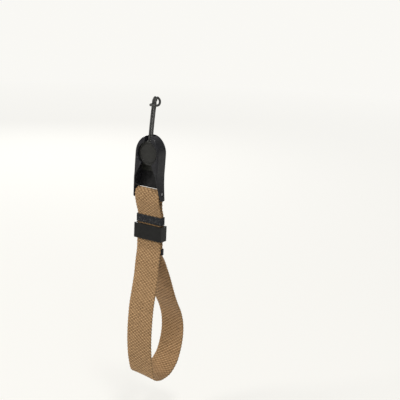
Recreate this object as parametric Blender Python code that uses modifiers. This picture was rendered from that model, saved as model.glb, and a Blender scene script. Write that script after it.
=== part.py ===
# A quick-release camera wrist strap, hanging by its anchor cord.
# Metres. +X across the webbing, +Y away from the viewer, +Z up.
# The origin is the middle of the eye in the cord's hitch, where the bar that it hangs on goes.

import math

import bmesh
import bpy
import numpy as np
from mathutils import Matrix, Vector

MM = 0.001

# Clearances
GAP = 0.3 * MM                  # between pieces that touch
TRIM_GAP = 0.12 * MM            # between a tape wrap and the webbing in it

# Anchor cord
CORD_DIAMETER = 1.6 * MM
STRAND_SPACING = 1.95 * MM      # between the middles of the two strands
HANGING_BAR = 2.2 * MM          # the bar that the hitch goes round
HITCH_DROP = 2.9 * MM           # from the bar's axis down to the hitch's front turn
HITCH_SPREAD = 2.65 * MM        # from the middle to each leg of the hitch
HITCH_CLEARANCE = 0.1 * MM      # from the bar to the cord round it
HITCH_FORWARD = 0.25 * MM       # how far the strands pass in front of the bar
CORD_SIDES = 2                  # bevel resolution, for eight sides

# Anchor disc
ANCHOR_DROP = 35.7 * MM         # from the hanging bar to the disc's middle
ANCHOR_FORWARD = 5.25 * MM      # how far in front of the bar the disc hangs
DISC_DIAMETER = 16.8 * MM
DISC_THICKNESS = 4.0 * MM
DISC_EDGE = 0.5 * MM            # rounding of the disc's rim
KNOT_SIZE = (4.8 * MM, 2.2 * MM, 3.4 * MM)

# Link housing, heights from the disc's middle
SIDE_WALL = 0.9 * MM            # beside the disc
ARM_WALL = 1.5 * MM             # at the arms' ends
LIP_THICKNESS = 1.9 * MM        # in front of the disc
BACK_WALL = 1.5 * MM
TOP_HEIGHT = 12.5 * MM          # above the disc's middle
FLARE_START = 13.9 * MM         # below the disc's middle, where the sides begin to spread
ARM_END = 32.2 * MM             # below the disc's middle
ARM_CLEARANCE = 0.75 * MM       # from the webbing's edge to an arm
SIDE_CURVE = 1.3                # 1 would spread the sides straight to the arms
BACK_END = 24.5 * MM            # below the disc's middle, where the back cover stops
FRONT_BULGE = 0.7 * MM          # how far the front swells below the seat
BULGE_DROP = 13.1 * MM          # below the disc's middle, where it swells most
SHOULDER_DROP = 19.5 * MM       # and where half of that is left
FRONT_TOP_LEAN = 1.6 * MM       # how far the front leans back at the top
BACK_TOP_LEAN = 1.3 * MM        # how far the back leans forward at the top
BACK_TAPER = 2.0 * MM           # how far the back has come forward beside the window
ARM_DEPTH = 3.7 * MM            # front to back at the arms' ends
SEAT_DEPTH = 10.1 * MM          # front to back at the disc
HOUSING_ROUND = 0.9 * MM        # rounding of the housing's outer edges
ROUND_STEPS = 3                 # flats in that rounding
DOME_STEPS = 10                 # sections over the disc
DOME_STARTS = 82                # degrees up, where the first of them is
SIDE_STEPS = 16                 # sections from the disc's middle to the arms' ends
SEAT_OPENING = 16.0 * MM        # the round opening in front of the disc
NOTCH_WIDTH = 5.2 * MM          # for the two strands
NOTCH_DEPTH = 3.7 * MM          # behind the disc's middle plane
WAIST_WIDTH = 8.6 * MM          # where the round opening meets the window
WINDOW_DROP = 16.5 * MM         # below the disc's middle, where the window reaches the sides
LIP_AT_SEAT = 1.1 * MM          # width of the front lip beside the window
LIP_AT_ARMS = 1.1 * MM          # and at the arms' ends
PLATE_THICKNESS = 0.8 * MM      # spring plate behind the disc
PLATE_END = 13.0 * MM           # below the disc's middle
PLATE_EDGE = 0.2 * MM

# Crossbar pin, through the arms
PIN_DIAMETER = 2.6 * MM
PIN_DROP = 27.3 * MM            # below the disc's middle
PIN_BACK = 0.2 * MM             # behind the disc's middle plane
PIN_SUNK = 0.5 * MM             # its ends lie below the arms' outer faces
PIN_EDGE = 0.25 * MM

# Webbing
WEBBING_WIDTH = 20.5 * MM
WEBBING_THICKNESS = 1.4 * MM
RUN_GAP = 0.7 * MM              # between the two runs
WEAVE_PITCH = 2.44 * MM         # from rib to rib along the webbing
WEAVE_COLUMNS = 4               # stretches across it, each with its ribs half a pitch further on
RIB_RELIEF = 0.14 * MM          # how much thinner the webbing is between two ribs
EDGE_SCALLOP = 0.22 * MM
STRAP_FORWARD = 2.2 * MM        # how far in front of the bar the two runs hang
STRAIGHT_ABOVE = 0.4 * MM       # the runs stay straight for this far above the upper wrap
BUTT_GAP = 0.4 * MM             # between the webbing's ends, inside the lower wrap

# Wraps and keeper, downwards from the pin
UPPER_WRAP_DROP = 17.2 * MM     # from the pin's axis to the wrap's top
UPPER_WRAP_HEIGHT = 5.6 * MM
WRAP_TAPE = 0.3 * MM            # thickness of the wrapping tape
WRAP_EDGE = 0.12 * MM
KEEPER_BELOW = 0.8 * MM         # from the upper wrap to the keeper
KEEPER_HEIGHT = 10.9 * MM
KEEPER_SIDE = 1.05 * MM         # its two narrow walls
KEEPER_FACE = 1.4 * MM          # its front and back walls
KEEPER_ROUND = 0.5 * MM
LOWER_WRAP_BELOW = 5.6 * MM     # from the keeper to the lower wrap
LOWER_WRAP_HEIGHT = 4.4 * MM

# Wrist loop, from the lower wrap's bottom
LOOP_HEIGHT = 94.6 * MM
LOOP_FRONT = 8.35 * MM          # how far the front run swings forward
LOOP_BACK = 31.05 * MM          # how far the back run swings back
LOOP_TILT = math.radians(10.5)  # its bottom hangs lower on the right
LOOP_TWIST = math.radians(3.5)  # its two sides turn their left edges outwards
TWIST_REACH = 40 * MM           # below the lower wrap, where that turn is full

# Places worked out from the sizes above
ANCHOR_Y = -ANCHOR_FORWARD
ANCHOR_Z = -ANCHOR_DROP
STRAP_Y = -STRAP_FORWARD
DISC_R = DISC_DIAMETER / 2
CAVITY_R = DISC_R + GAP
HOUSING_R = CAVITY_R + SIDE_WALL
LIP_INNER = -DISC_THICKNESS / 2 - GAP
FRONT_SEAT = LIP_INNER - LIP_THICKNESS
PLATE_FRONT = DISC_THICKNESS / 2 + GAP
ARM_INNER = WEBBING_WIDTH / 2 + ARM_CLEARANCE
ARM_OUTER = ARM_INNER + ARM_WALL
PIN_Y = ANCHOR_Y + PIN_BACK
PIN_Z = ANCHOR_Z - PIN_DROP
RUN_OFFSET = (WEBBING_THICKNESS + RUN_GAP) / 2
UPPER_WRAP_TOP = PIN_Z - UPPER_WRAP_DROP
UPPER_WRAP_END = UPPER_WRAP_TOP - UPPER_WRAP_HEIGHT
KEEPER_TOP = UPPER_WRAP_END - KEEPER_BELOW
KEEPER_END = KEEPER_TOP - KEEPER_HEIGHT
LOWER_WRAP_TOP = KEEPER_END - LOWER_WRAP_BELOW
LOWER_WRAP_END = LOWER_WRAP_TOP - LOWER_WRAP_HEIGHT
AT_DISC = Matrix.Translation((0, ANCHOR_Y, ANCHOR_Z))   # the link and the disc are measured from here
FAR = 60 * MM                   # past everything that a cutter has to clear
PAST = 1 * MM                   # how far a cutter runs past the one face that it opens


def clear_scene():
    for old in list(bpy.data.objects):
        bpy.data.objects.remove(old, do_unlink=True)


def collection(name):
    found = bpy.data.collections.get(name) or bpy.data.collections.new(name)
    if found.name not in bpy.context.scene.collection.children:
        bpy.context.scene.collection.children.link(found)
    return found


def material(name, colour, roughness, metallic=0.0):
    mat = bpy.data.materials.new(name)
    mat.use_nodes = True
    shader = mat.node_tree.nodes["Principled BSDF"]
    shader.inputs["Base Color"].default_value = (*colour, 1.0)
    shader.inputs["Roughness"].default_value = roughness
    shader.inputs["Metallic"].default_value = metallic
    return mat


def finish_piece(obj, mat, smooth_angle=35):
    obj.data.materials.clear()
    obj.data.materials.append(mat)
    if obj.type == "MESH":
        obj.data.shade_smooth()
        obj.data.set_sharp_from_angle(angle=math.radians(smooth_angle))
    return obj


def add_object(name, mesh, group):
    obj = bpy.data.objects.new(name, mesh)
    group.objects.link(obj)
    return obj


def make_cutter(obj):
    obj.hide_render = True
    obj.display_type = "WIRE"
    return obj


def boolean(obj, other, operation="DIFFERENCE"):
    step = obj.modifiers.new(other.name, "BOOLEAN")
    step.operation = operation
    step.object = other
    step.solver = "EXACT"


def bevel(obj, width, segments):
    step = obj.modifiers.new("rounded edges", "BEVEL")
    step.width = width
    step.segments = segments
    step.limit_method = "ANGLE"


def curve_to_mesh(obj, name, group):
    bpy.context.view_layer.update()
    mesh = bpy.data.meshes.new_from_object(obj.evaluated_get(bpy.context.evaluated_depsgraph_get()))
    work = bmesh.new()
    work.from_mesh(mesh)
    bmesh.ops.remove_doubles(work, verts=work.verts, dist=0.01 * MM)
    work.to_mesh(mesh)
    work.free()
    result = add_object(name, mesh, group)
    result.matrix_world = obj.matrix_world.copy()
    bpy.data.objects.remove(obj, do_unlink=True)
    return result


def flat_outline(name, points, half_depth, place, group):
    # a closed outline, filled and extruded by half_depth to both sides
    data = bpy.data.curves.new(name + " outline", "CURVE")
    data.dimensions = "2D"
    data.fill_mode = "BOTH"
    data.extrude = half_depth
    line = data.splines.new("POLY")
    line.points.add(len(points) - 1)
    for spot, (a, b) in zip(line.points, points):
        spot.co = (a, b, 0, 1)
    line.use_cyclic_u = True
    obj = bpy.data.objects.new(name + " outline", data)
    group.objects.link(obj)
    obj.matrix_world = place
    return curve_to_mesh(obj, name, group)


FACING_FRONT = Matrix.Rotation(math.radians(90), 4, "X")      # outline in X and Z, depth along Y
FACING_SIDE = Matrix(((0, 0, 1, 0), (1, 0, 0, 0), (0, 1, 0, 0), (0, 0, 0, 1)))  # outline in Y and Z


def front_solid(name, points, y_front, y_back, group):
    middle = Matrix.Translation((0, (y_front + y_back) / 2, 0))
    return flat_outline(name, points, (y_back - y_front) / 2, AT_DISC @ middle @ FACING_FRONT, group)


def side_solid(name, points, group):
    return flat_outline(name, points, FAR, AT_DISC @ FACING_SIDE, group)


def box(name, low, high, group, frame=Matrix()):
    mesh = bpy.data.meshes.new(name)
    work = bmesh.new()
    bmesh.ops.create_cube(work, size=1)
    size = [b - a for a, b in zip(low, high)]
    bmesh.ops.scale(work, vec=size, verts=work.verts)
    work.to_mesh(mesh)
    work.free()
    obj = add_object(name, mesh, group)
    obj.matrix_world = frame @ Matrix.Translation([(a + b) / 2 for a, b in zip(low, high)])
    return obj


def skin(name, sections, place, group):
    # a skin over closed lines of as many points each, with both ends closed
    around = len(sections[0])
    mesh = bpy.data.meshes.new(name)
    work = bmesh.new()
    bmesh.ops.create_grid(work, x_segments=around, y_segments=len(sections) - 1, size=1)
    for k, vert in enumerate(sorted(work.verts, key=lambda v: (round(v.co.y, 5), v.co.x))):
        row, column = divmod(k, around + 1)
        vert.co = sections[row][column % around]
    bmesh.ops.remove_doubles(work, verts=work.verts, dist=0.001 * MM)
    bmesh.ops.holes_fill(work, edges=[edge for edge in work.edges if edge.is_boundary])
    bmesh.ops.recalc_face_normals(work, faces=work.faces)
    work.to_mesh(mesh)
    work.free()
    obj = add_object(name, mesh, group)
    obj.matrix_world = place
    return obj


def cylinder(name, radius, length, place, group, sides=32):
    mesh = bpy.data.meshes.new(name)
    work = bmesh.new()
    bmesh.ops.create_cone(work, cap_ends=True, segments=sides, radius1=radius, radius2=radius, depth=length)
    work.to_mesh(mesh)
    work.free()
    obj = add_object(name, mesh, group)
    obj.matrix_world = place
    return obj


def ellipsoid(name, size, place, group):
    mesh = bpy.data.meshes.new(name)
    work = bmesh.new()
    bmesh.ops.create_uvsphere(work, u_segments=16, v_segments=10, radius=0.5)
    bmesh.ops.scale(work, vec=size, verts=work.verts)
    work.to_mesh(mesh)
    work.free()
    obj = add_object(name, mesh, group)
    obj.matrix_world = place
    return obj


def arc(centre_z, radius, start, end, steps):
    # angles in degrees from +X towards +Z
    turns = [math.radians(start + (end - start) * i / steps) for i in range(steps + 1)]
    return [(radius * math.cos(t), centre_z + radius * math.sin(t)) for t in turns]


def smooth_line(points, per_span):
    # Catmull-Rom curve through the points
    pts = [Vector(p) for p in points]
    pts = [2 * pts[0] - pts[1]] + pts + [2 * pts[-1] - pts[-2]]
    line = []
    for i in range(1, len(pts) - 2):
        before, a, b, after = pts[i - 1:i + 3]
        for j in range(per_span):
            t = j / per_span
            line.append(0.5 * ((2 * a) + (b - before) * t + (2 * before - 5 * a + 4 * b - after) * t ** 2
                               + (3 * a - 3 * b + after - before) * t ** 3))
    line.append(pts[-2])
    return line


def mirrored(right_side):
    # closes an outline whose right half runs from top to bottom
    return right_side + [(-x, z) for x, z in reversed(right_side) if abs(x) > 0.01 * MM]


# Housing outlines, with the disc's middle as their zero

def half_width(at_seat, at_arms, drop):
    # straight beside the seat, then spreading to the arms
    spread = max(0.0, (drop - FLARE_START) / (ARM_END - FLARE_START))
    return at_seat + (at_arms - at_seat) * spread ** SIDE_CURVE


def side_line(at_seat, at_arms, end, start=FLARE_START, steps=8):
    if end <= start:
        return [(at_seat, -end)]
    drops = [start + (end - start) * i / steps for i in range(steps + 1)]
    return [(half_width(at_seat, at_arms, drop), -drop) for drop in drops]


def cavity_outline(inset, end):
    radius = CAVITY_R - inset
    top = arc(0, radius, 90, 0, 14)
    return mirrored(top + side_line(radius, ARM_INNER - inset, end))


def front_opening_outline():
    half_notch = NOTCH_WIDTH / 2
    half_waist = WAIST_WIDTH / 2
    ring = SEAT_OPENING / 2
    high = math.degrees(math.acos(half_notch / ring))
    low = -math.degrees(math.acos(half_waist / ring))
    right = [(half_notch, TOP_HEIGHT + PAST)] + arc(0, ring, high, low, 14)
    right += side_line(HOUSING_R - LIP_AT_SEAT, ARM_OUTER - LIP_AT_ARMS, ARM_END + 2 * PAST, WINDOW_DROP, 5)
    return right + [(-x, z) for x, z in reversed(right)]


def front_line(steps=6):
    # the front surface from the top down, as depth and height
    knots = [(FRONT_SEAT + FRONT_TOP_LEAN, TOP_HEIGHT), (FRONT_SEAT + FRONT_TOP_LEAN / 4, TOP_HEIGHT / 2),
             (FRONT_SEAT, 0), (FRONT_SEAT - FRONT_BULGE, -BULGE_DROP),
             (FRONT_SEAT - FRONT_BULGE / 2, -SHOULDER_DROP), (PIN_BACK - ARM_DEPTH / 2, -ARM_END)]
    return [tuple(p) for p in smooth_line(knots, steps)]


def back_line(inset=0.0, steps=6):
    back = FRONT_SEAT + SEAT_DEPTH
    knots = [(back - BACK_TOP_LEAN, TOP_HEIGHT), (back - BACK_TOP_LEAN / 4, TOP_HEIGHT / 2), (back, 0),
             (back - BACK_TAPER / 2, -FLARE_START), (back - BACK_TAPER, -(WINDOW_DROP + BACK_END) / 2),
             (PIN_BACK + ARM_DEPTH / 2, -ARM_END)]
    return [(y - inset, z) for y, z in smooth_line(knots, steps)]


def depth_at(line, height):
    return float(np.interp(-height, [-z for _, z in line], [y for y, _ in line]))


def rounded_section(half, front, back, height):
    # a rectangle with round corners, level, from its right front corner round
    radius = min(HOUSING_ROUND, half / 2, (back - front) / 3)
    points = []
    for corner, (x, y) in enumerate([(1, front + radius), (1, back - radius), (-1, back - radius),
                                     (-1, front + radius)]):
        for step in range(ROUND_STEPS + 1):
            turn = math.radians(90 * (corner - 1 + step / ROUND_STEPS))
            centre = Vector((x * (half - radius), y, height))
            points.append(centre + Vector((radius * math.cos(turn), radius * math.sin(turn), 0)))
    return points


def housing_sections():
    # half width, height, and how far the rounding at each end has drawn the section in
    rows = []
    for step in range(DOME_STEPS):
        turn = math.radians(DOME_STARTS * (1 - step / DOME_STEPS))
        height = TOP_HEIGHT * math.sin(turn)
        short = max(0.0, HOUSING_ROUND - (TOP_HEIGHT - height))
        drawn_in = HOUSING_ROUND - math.sqrt(HOUSING_ROUND ** 2 - short ** 2)
        rows.append((HOUSING_R * math.cos(turn), height, drawn_in))
    straight = ARM_END - HOUSING_ROUND
    for step in range(SIDE_STEPS + 1):
        drop = straight * step / SIDE_STEPS
        rows.append((half_width(HOUSING_R, ARM_OUTER, drop), -drop, 0.0))
    for step in range(1, ROUND_STEPS + 1):
        turn = math.radians(90 * step / ROUND_STEPS)
        drawn_in = HOUSING_ROUND * (1 - math.cos(turn))
        drop = straight + HOUSING_ROUND * math.sin(turn)
        rows.append((half_width(HOUSING_R, ARM_OUTER, drop) - drawn_in, -drop, drawn_in))
    sections = []
    for half, height, drawn_in in rows:
        front = depth_at(front_line(), height) + drawn_in
        back = depth_at(back_line(), height) - drawn_in
        sections.append(rounded_section(half, front, back, height))
    return sections


def build_anchor(parts, cutters, plastic):
    # two round halves with the strands' channel and the knot's pocket between them
    turn = Matrix.Rotation(math.radians(90), 4, "X")
    wide = STRAND_SPACING / 2 + CORD_DIAMETER / 2 + GAP
    deep = CORD_DIAMETER / 2 + GAP
    channel = box("strand channel", (-wide, -deep, 0), (wide, deep, DISC_R + PAST), cutters, AT_DISC)
    pocket = ellipsoid("knot pocket", [size + 2 * GAP for size in KNOT_SIZE], AT_DISC, cutters)
    half = DISC_THICKNESS / 2 - GAP / 2
    for name, facing in (("anchor_cap", -1), ("anchor_base", 1)):
        place = AT_DISC @ Matrix.Translation((0, facing * (GAP / 2 + half / 2), 0)) @ turn
        obj = cylinder(name, DISC_R, half, place, parts, 64)
        # only the outer rim is rounded, the parting face stays flat
        weights = obj.data.attributes.new("bevel_weight_edge", "FLOAT", "EDGE")
        for edge in obj.data.edges:
            heights = [obj.data.vertices[i].co.z * -facing for i in edge.vertices]
            weights.data[edge.index].value = 1.0 if min(heights) > 0 else 0.0
        rim = obj.modifiers.new("rounded rim", "BEVEL")
        rim.width = DISC_EDGE
        rim.segments = 3
        rim.limit_method = "WEIGHT"
        for cutter in (channel, pocket):
            boolean(obj, make_cutter(cutter))
        finish_piece(obj, plastic)


def build_housing(parts, cutters, plastic, dark_plastic, steel):
    back_shell = back_line() + back_line(BACK_WALL)[::-1]
    back_body = make_cutter(side_solid("back cover side view", back_shell, cutters))
    lying = Matrix.Rotation(math.radians(90), 4, "Y")
    pin_place = AT_DISC @ Matrix.Translation((0, PIN_BACK, -PIN_DROP)) @ lying
    pin_hole = make_cutter(cylinder("pin hole", PIN_DIAMETER / 2 + GAP / 2, FAR, pin_place, cutters))

    frame = skin("link_frame", housing_sections(), AT_DISC, parts)
    cavity = front_solid("cavity", cavity_outline(0, ARM_END + PAST), LIP_INNER, FAR / 2, cutters)
    boolean(frame, make_cutter(cavity))
    opening = front_solid("front opening", front_opening_outline(), -FAR / 2, LIP_INNER + PAST, cutters)
    boolean(frame, make_cutter(opening))
    half_notch = NOTCH_WIDTH / 2
    notch = box("cord notch", (-half_notch, -FAR / 2, SEAT_OPENING / 2 - PAST),
                (half_notch, NOTCH_DEPTH, TOP_HEIGHT + 2 * PAST), cutters, AT_DISC)
    boolean(frame, make_cutter(notch))
    boolean(frame, pin_hole)
    finish_piece(frame, plastic)

    cover = front_solid("link_back_cover", cavity_outline(GAP, BACK_END), -FAR / 2, FAR / 2, parts)
    boolean(cover, back_body, "INTERSECT")
    finish_piece(cover, plastic)

    plate = front_solid("seat_spring_plate", cavity_outline(GAP, PLATE_END), PLATE_FRONT,
                        PLATE_FRONT + PLATE_THICKNESS, parts)
    bevel(plate, PLATE_EDGE, 1)
    finish_piece(plate, dark_plastic)

    pin_half = half_width(HOUSING_R, ARM_OUTER, PIN_DROP) - PIN_SUNK
    pin = cylinder("crossbar_pin", PIN_DIAMETER / 2, 2 * pin_half, pin_place, parts)
    bevel(pin, PIN_EDGE, 1)
    finish_piece(pin, steel)


def upper_runs():
    # the webbing's line over the pin, from the keeper's front run to its back run, as depth and height
    wrap = PIN_DIAMETER / 2 + GAP + WEBBING_THICKNESS / 2
    pin_y = PIN_Y - STRAP_Y
    straight_to = UPPER_WRAP_TOP + STRAIGHT_ABOVE
    rise = PIN_Z - straight_to
    front = [(-RUN_OFFSET, KEEPER_TOP), (-RUN_OFFSET, straight_to),
             (pin_y * 0.6 - RUN_OFFSET * 1.2, straight_to + rise * 0.33),
             (pin_y - wrap * 0.86, straight_to + rise * 0.68)]
    back = [(pin_y + wrap * 0.86, straight_to + rise * 0.68),
            (pin_y * 0.6 + RUN_OFFSET, straight_to + rise * 0.33),
            (RUN_OFFSET, straight_to), (RUN_OFFSET, KEEPER_TOP)]
    over = [(pin_y - wrap * math.cos(t), PIN_Z + wrap * math.sin(t))
            for t in [math.radians(-8 + 196 * i / 8) for i in range(9)]]
    return front, over, back


def loop_line():
    # the wrist loop, from the front run under the keeper round to the back run, as shares of its
    # swing and height
    top = LOWER_WRAP_END
    front = [(0.0, -0.02), (0.18, 0.086), (0.29, 0.18), (0.53, 0.285), (0.84, 0.425), (0.98, 0.61),
             (0.91, 0.745), (0.67, 0.865), (0.25, 0.962)]
    back = [(0.11, 0.997), (0.31, 1.0), (0.55, 0.985), (0.765, 0.933), (0.872, 0.88), (0.96, 0.802),
            (1.0, 0.717), (0.975, 0.625), (0.87, 0.53), (0.72, 0.447), (0.575, 0.358), (0.393, 0.23),
            (0.262, 0.146), (0.118, 0.06), (0.03, 0.02)]
    line = [(-RUN_OFFSET - LOOP_FRONT * a, top - LOOP_HEIGHT * b) for a, b in front]
    line += [(RUN_OFFSET + LOOP_BACK * a, top - LOOP_HEIGHT * b) for a, b in back]
    return line


def webbing_line():
    # starts and ends at the butt joint in the lower wrap, and goes up the back run first
    joint = (LOWER_WRAP_TOP + LOWER_WRAP_END) / 2
    front, over, back = upper_runs()
    knots = [(RUN_OFFSET, joint + BUTT_GAP / 2), (RUN_OFFSET, LOWER_WRAP_TOP)]
    knots += back[::-1] + over[::-1] + front[::-1]
    knots += [(-RUN_OFFSET, KEEPER_END), (-RUN_OFFSET, LOWER_WRAP_TOP)]
    knots += loop_line()
    knots += [(RUN_OFFSET, LOWER_WRAP_END), (RUN_OFFSET, joint - BUTT_GAP / 2)]
    return knots


def even_spacing(line, step):
    lengths = [0.0]
    for a, b in zip(line, line[1:]):
        lengths.append(lengths[-1] + (b - a).length)
    count = 2 * round(lengths[-1] / step / 2)
    result = []
    i = 0
    for k in range(count + 1):
        target = lengths[-1] * k / count
        while i < len(line) - 2 and lengths[i + 1] < target:
            i += 1
        part = (target - lengths[i]) / (lengths[i + 1] - lengths[i])
        result.append(line[i].lerp(line[i + 1], min(part, 1.0)))
    return result, lengths[-1]


def webbing_half(height):
    # half the webbing's width, drawn in where it passes between the arms
    if height < ANCHOR_Z - ARM_END:
        return WEBBING_WIDTH / 2
    return min(WEBBING_WIDTH / 2, half_width(CAVITY_R, ARM_INNER, ANCHOR_Z - height) - GAP)


def loop_turn(height, going_back):
    # how far the webbing is turned about its own line, its right edge outwards
    if height > LOWER_WRAP_END:
        return 0.0
    bottom = max(0.0, going_back) ** 2
    fade = min(1.0, (LOWER_WRAP_END - height) / TWIST_REACH)
    return LOOP_TILT * bottom - LOOP_TWIST * (1 - bottom) * fade


def build_webbing(parts, fabric):
    line, length = even_spacing(smooth_line(webbing_line(), 16), WEAVE_PITCH / 2)
    rows = len(line)
    mesh = bpy.data.meshes.new("webbing")
    work = bmesh.new()
    bmesh.ops.create_grid(work, x_segments=WEAVE_COLUMNS, y_segments=rows - 1, size=1)
    work.verts.index_update()
    weights = []
    for k, vert in enumerate(sorted(work.verts, key=lambda v: (round(v.co.y, 5), v.co.x))):
        row, column = divmod(k, WEAVE_COLUMNS + 1)
        depth, height = line[row]
        ahead = (line[min(row + 1, rows - 1)] - line[max(row - 1, 0)]).normalized()
        turn = loop_turn(height, ahead[0])
        crest = (row + column) % 2 == 0
        share = 2 * column / WEAVE_COLUMNS - 1
        reach = share * (webbing_half(height) - (0 if crest else EDGE_SCALLOP))
        across = Vector((math.cos(turn), math.sin(turn) * ahead[1], -math.sin(turn) * ahead[0]))
        vert.co = Vector((0, STRAP_Y + depth, height)) + across * reach
        weights.append((vert.index, crest))
    bmesh.ops.recalc_face_normals(work, faces=work.faces)
    work.to_mesh(mesh)
    work.free()
    obj = add_object("webbing", mesh, parts)
    thick = obj.vertex_groups.new(name="rib thickness")
    for index, crest in weights:
        thick.add([index], 1.0 if crest else 1.0 - 2 * RIB_RELIEF / WEBBING_THICKNESS, "REPLACE")
    shell = obj.modifiers.new("thickness", "SOLIDIFY")
    shell.thickness = WEBBING_THICKNESS
    shell.offset = 0
    shell.vertex_group = thick.name
    finish_piece(obj, fabric, 60)
    return length


def tape_wrap(name, half_depth, middle_y, top, end, parts, cutters, mat):
    # a flat sleeve round the webbing
    half = WEBBING_WIDTH / 2 + TRIM_GAP
    outer = box(name, (-half - WRAP_TAPE, middle_y - half_depth - WRAP_TAPE, end),
                (half + WRAP_TAPE, middle_y + half_depth + WRAP_TAPE, top), parts)
    bevel(outer, WRAP_EDGE, 1)
    inner = box(name + " inside", (-half, middle_y - half_depth, end - PAST),
                (half, middle_y + half_depth, top + PAST), cutters)
    boolean(outer, make_cutter(inner))
    return finish_piece(outer, mat)


def build_wraps(parts, cutters, mat):
    both_runs = RUN_OFFSET + WEBBING_THICKNESS / 2 + TRIM_GAP
    one_run = WEBBING_THICKNESS / 2 + TRIM_GAP
    tape_wrap("upper_wrap", both_runs, STRAP_Y, UPPER_WRAP_TOP, UPPER_WRAP_END, parts, cutters, mat)
    back_run = STRAP_Y + RUN_OFFSET
    tape_wrap("lower_wrap", one_run, back_run, LOWER_WRAP_TOP, LOWER_WRAP_END, parts, cutters, mat)


def build_keeper(parts, cutters, mat):
    half = WEBBING_WIDTH / 2 + GAP
    depth = RUN_OFFSET + WEBBING_THICKNESS / 2 + GAP
    keeper = box("keeper", (-half - KEEPER_SIDE, STRAP_Y - depth - KEEPER_FACE, KEEPER_END),
                 (half + KEEPER_SIDE, STRAP_Y + depth + KEEPER_FACE, KEEPER_TOP), parts)
    bevel(keeper, KEEPER_ROUND, 3)
    slot = box("keeper slot", (-half, STRAP_Y - depth, KEEPER_END - PAST),
               (half, STRAP_Y + depth, KEEPER_TOP + PAST), cutters)
    boolean(keeper, make_cutter(slot))
    finish_piece(keeper, mat)


def cord_route():
    # from the knot up the left strand, round the bar as a hitch, and down the right strand
    x = STRAND_SPACING / 2
    round_bar = (HANGING_BAR + CORD_DIAMETER) / 2 + HITCH_CLEARANCE
    start = KNOT_SIZE[2] / 2 + GAP
    lean = ANCHOR_FORWARD - round_bar
    leaves = DISC_R
    rise = ANCHOR_DROP - leaves
    left = [(-x, ANCHOR_Y, ANCHOR_Z + height) for height in (start, (start + leaves) / 2, leaves)]
    left += [(-x, ANCHOR_Y + lean * part, ANCHOR_Z + leaves + rise * part) for part in (0.25, 0.5, 0.75)]
    left += [(-x, -round_bar - HITCH_FORWARD, -HITCH_DROP), (-x, -round_bar, 0.0), (-x, 0.0, round_bar),
             (-x * 1.5, round_bar, 0.0), (-x * 2.2, round_bar * 0.5, -HITCH_DROP * 0.72),
             (-HITCH_SPREAD, -round_bar * 0.75, -HITCH_DROP),
             (-HITCH_SPREAD * 0.88, -round_bar * 1.6, -HITCH_DROP),
             (-HITCH_SPREAD * 0.45, -round_bar * 2.15, -HITCH_DROP)]
    return left + [(-a, b, c) for a, b, c in reversed(left)]


def build_cord(parts, fabric):
    line = smooth_line(cord_route(), 3)
    data = bpy.data.curves.new("anchor_cord", "CURVE")
    data.dimensions = "3D"
    data.bevel_depth = CORD_DIAMETER / 2
    data.bevel_resolution = CORD_SIDES
    data.use_fill_caps = True
    spline = data.splines.new("POLY")
    spline.points.add(len(line) - 1)
    for spot, co in zip(spline.points, line):
        spot.co = (*co, 1)
    cord = bpy.data.objects.new("anchor_cord", data)
    parts.objects.link(cord)
    finish_piece(cord, fabric)
    knot = ellipsoid("anchor_cord_knot", KNOT_SIZE, AT_DISC, parts)
    finish_piece(knot, fabric)
    return sum((b - a).length for a, b in zip(line, line[1:]))


def main():
    clear_scene()
    parts = collection("camera_wrist_strap")
    cutters = collection("cutters")
    plastic = material("black nylon", (0.022, 0.022, 0.024), 0.42)
    dark_plastic = material("black acetal", (0.015, 0.015, 0.016), 0.35)
    fabric = material("tan webbing", (0.36, 0.21, 0.10), 0.85)
    tape = material("black tape", (0.02, 0.02, 0.022), 0.8)
    cord_fabric = material("grey cord", (0.05, 0.05, 0.052), 0.8)
    steel = material("steel", (0.55, 0.55, 0.56), 0.35, 1.0)

    cord_length = build_cord(parts, cord_fabric)
    build_anchor(parts, cutters, plastic)
    build_housing(parts, cutters, plastic, dark_plastic, steel)
    webbing_length = build_webbing(parts, fabric)
    build_wraps(parts, cutters, tape)
    build_keeper(parts, cutters, plastic)
    print("cord %.1f mm, webbing %.1f mm" % (cord_length / MM, webbing_length / MM))


main()
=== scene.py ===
import math

import bpy
import numpy as np
from mathutils import Matrix, Vector
from mathutils.kdtree import KDTree


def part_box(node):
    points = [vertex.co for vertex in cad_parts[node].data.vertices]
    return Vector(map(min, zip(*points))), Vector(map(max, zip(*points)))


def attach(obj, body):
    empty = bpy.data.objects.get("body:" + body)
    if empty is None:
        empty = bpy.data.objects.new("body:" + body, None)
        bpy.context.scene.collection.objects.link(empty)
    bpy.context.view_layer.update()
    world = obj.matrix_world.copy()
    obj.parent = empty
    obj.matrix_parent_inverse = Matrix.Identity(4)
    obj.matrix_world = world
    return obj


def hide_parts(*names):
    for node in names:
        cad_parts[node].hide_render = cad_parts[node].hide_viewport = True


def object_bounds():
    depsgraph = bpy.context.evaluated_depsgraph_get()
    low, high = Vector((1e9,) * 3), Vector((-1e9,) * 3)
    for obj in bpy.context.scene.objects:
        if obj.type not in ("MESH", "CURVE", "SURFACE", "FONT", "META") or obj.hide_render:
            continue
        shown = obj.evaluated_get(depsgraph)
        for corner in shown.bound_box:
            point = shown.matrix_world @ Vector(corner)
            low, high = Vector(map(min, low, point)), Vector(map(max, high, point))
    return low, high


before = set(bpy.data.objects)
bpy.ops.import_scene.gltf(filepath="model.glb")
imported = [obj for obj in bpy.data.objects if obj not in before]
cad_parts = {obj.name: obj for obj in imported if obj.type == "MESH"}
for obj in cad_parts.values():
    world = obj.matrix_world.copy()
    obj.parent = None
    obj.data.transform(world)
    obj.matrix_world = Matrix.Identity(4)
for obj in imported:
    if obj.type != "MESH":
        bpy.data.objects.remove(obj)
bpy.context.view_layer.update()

# the looks of a wrist strap that hangs by its anchor cord; metres, +Z up, front towards -Y
mm = 0.001
fullTurn = 2 * math.pi
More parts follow.
